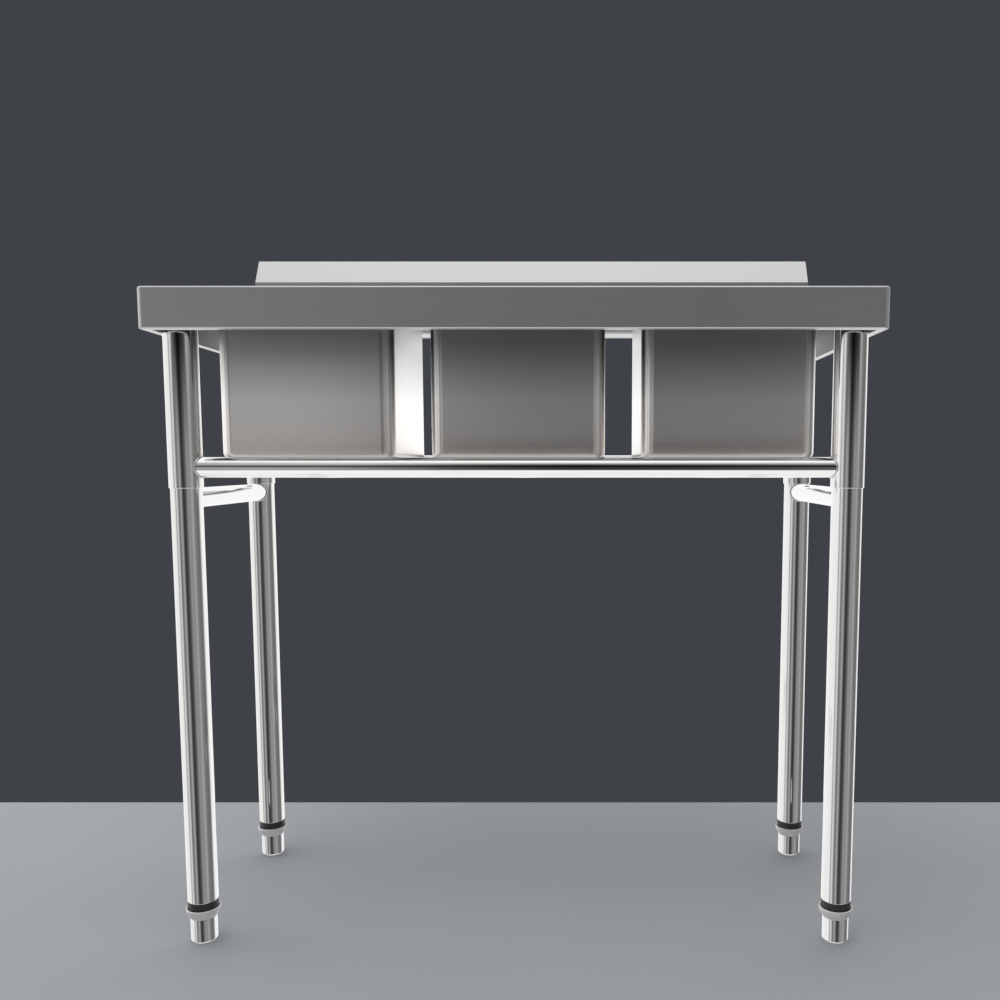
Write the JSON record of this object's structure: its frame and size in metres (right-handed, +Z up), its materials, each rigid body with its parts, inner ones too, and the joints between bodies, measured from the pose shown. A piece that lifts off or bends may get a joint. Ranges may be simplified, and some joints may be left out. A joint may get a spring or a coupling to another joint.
{
  "type": "three compartment sink",
  "caption": "Free-standing stainless sink with deep square bowls in a deck with aprons and a leaning backsplash, on round tube legs with rails and screw feet.",
  "frame": {"origin": "on the floor, under the middle of the sink's overall box", "axes": "+X to the sink's right seen from the front, +Y to the backsplash, +Z up"},
  "size_m": [0.9, 0.45, 0.952],
  "materials": {
    "sheet_steel": "satin brushed stainless sheet, grain along the length",
    "bowl_steel": "soft satin pressed stainless, faintly warm",
    "tube_steel": "bright polished stainless tube",
    "turned_steel": "bright turned and pressed stainless fittings",
    "foot_steel": "polished foot body with a paler satin bead",
    "insert_plastic": "black moulded plastic",
    "nut_plastic": "dark moulded plastic",
    "gasket_rubber": "black rubber"
  },
  "bodies": {
    "sink": {"deck": "sheet_steel", "backsplash": "sheet_steel", "deck_stiffener_front": "sheet_steel", "deck_stiffener_rear": "sheet_steel", "bowl_left": "bowl_steel", "waste_body_left": "turned_steel", "waste_gasket_left": "gasket_rubber", "waste_nut_left": "nut_plastic", "bowl_middle": "bowl_steel", "waste_body_middle": "turned_steel", "waste_gasket_middle": "gasket_rubber", "waste_nut_middle": "nut_plastic", "bowl_right": "bowl_steel", "waste_body_right": "turned_steel", "waste_gasket_right": "gasket_rubber", "waste_nut_right": "nut_plastic", "leg_sleeve_front_left": "tube_steel", "sleeve_plate_front_left": "sheet_steel", "leg_tube_front_left": "tube_steel", "set_screw_front_left": "turned_steel", "leg_insert_front_left": "insert_plastic", "leg_sleeve_front_right": "tube_steel", "sleeve_plate_front_right": "sheet_steel", "leg_tube_front_right": "tube_steel", "set_screw_front_right": "turned_steel", "leg_insert_front_right": "insert_plastic", "leg_sleeve_rear_left": "tube_steel", "sleeve_plate_rear_left": "sheet_steel", "leg_tube_rear_left": "tube_steel", "set_screw_rear_left": "turned_steel", "leg_insert_rear_left": "insert_plastic", "leg_sleeve_rear_right": "tube_steel", "sleeve_plate_rear_right": "sheet_steel", "leg_tube_rear_right": "tube_steel", "set_screw_rear_right": "turned_steel", "leg_insert_rear_right": "insert_plastic", "front_rail": "tube_steel", "rear_rail": "tube_steel", "side_rail_left": "tube_steel", "side_rail_right": "tube_steel"},
    "foot_front_left": {"foot_front_left": "foot_steel"},
    "foot_front_right": {"foot_front_right": "foot_steel"},
    "foot_rear_left": {"foot_rear_left": "foot_steel"},
    "foot_rear_right": {"foot_rear_right": "foot_steel"},
    "basket_left": {"strainer_basket_left": "turned_steel"},
    "stopper_left": {"stopper_post_left": "turned_steel", "stopper_seal_left": "gasket_rubber"},
    "basket_middle": {"strainer_basket_middle": "turned_steel"},
    "stopper_middle": {"stopper_post_middle": "turned_steel", "stopper_seal_middle": "gasket_rubber"},
    "basket_right": {"strainer_basket_right": "turned_steel"},
    "stopper_right": {"stopper_post_right": "turned_steel", "stopper_seal_right": "gasket_rubber"}
  },
  "joints": [
    {"name": "foot_front_left_adjust", "type": "slide", "parent": "sink", "child": "foot_front_left", "axis": [0, 0, -1], "range_m": [0, 0.025]},
    {"name": "foot_front_right_adjust", "type": "slide", "parent": "sink", "child": "foot_front_right", "axis": [0, 0, -1], "range_m": [0, 0.025]},
    {"name": "foot_rear_left_adjust", "type": "slide", "parent": "sink", "child": "foot_rear_left", "axis": [0, 0, -1], "range_m": [0, 0.025]},
    {"name": "foot_rear_right_adjust", "type": "slide", "parent": "sink", "child": "foot_rear_right", "axis": [0, 0, -1], "range_m": [0, 0.025]},
    {"name": "basket_left_lift", "type": "slide", "parent": "sink", "child": "basket_left", "axis": [0, 0, 1], "range_m": [0, 0.22]},
    {"name": "stopper_left_pull", "type": "slide", "parent": "basket_left", "child": "stopper_left", "axis": [0, 0, 1], "range_m": [0, 0.004]},
    {"name": "basket_middle_lift", "type": "slide", "parent": "sink", "child": "basket_middle", "axis": [0, 0, 1], "range_m": [0, 0.22]},
    {"name": "stopper_middle_pull", "type": "slide", "parent": "basket_middle", "child": "stopper_middle", "axis": [0, 0, 1], "range_m": [0, 0.004]},
    {"name": "basket_right_lift", "type": "slide", "parent": "sink", "child": "basket_right", "axis": [0, 0, 1], "range_m": [0, 0.22]},
    {"name": "stopper_right_pull", "type": "slide", "parent": "basket_right", "child": "stopper_right", "axis": [0, 0, 1], "range_m": [0, 0.004]}
  ]
}
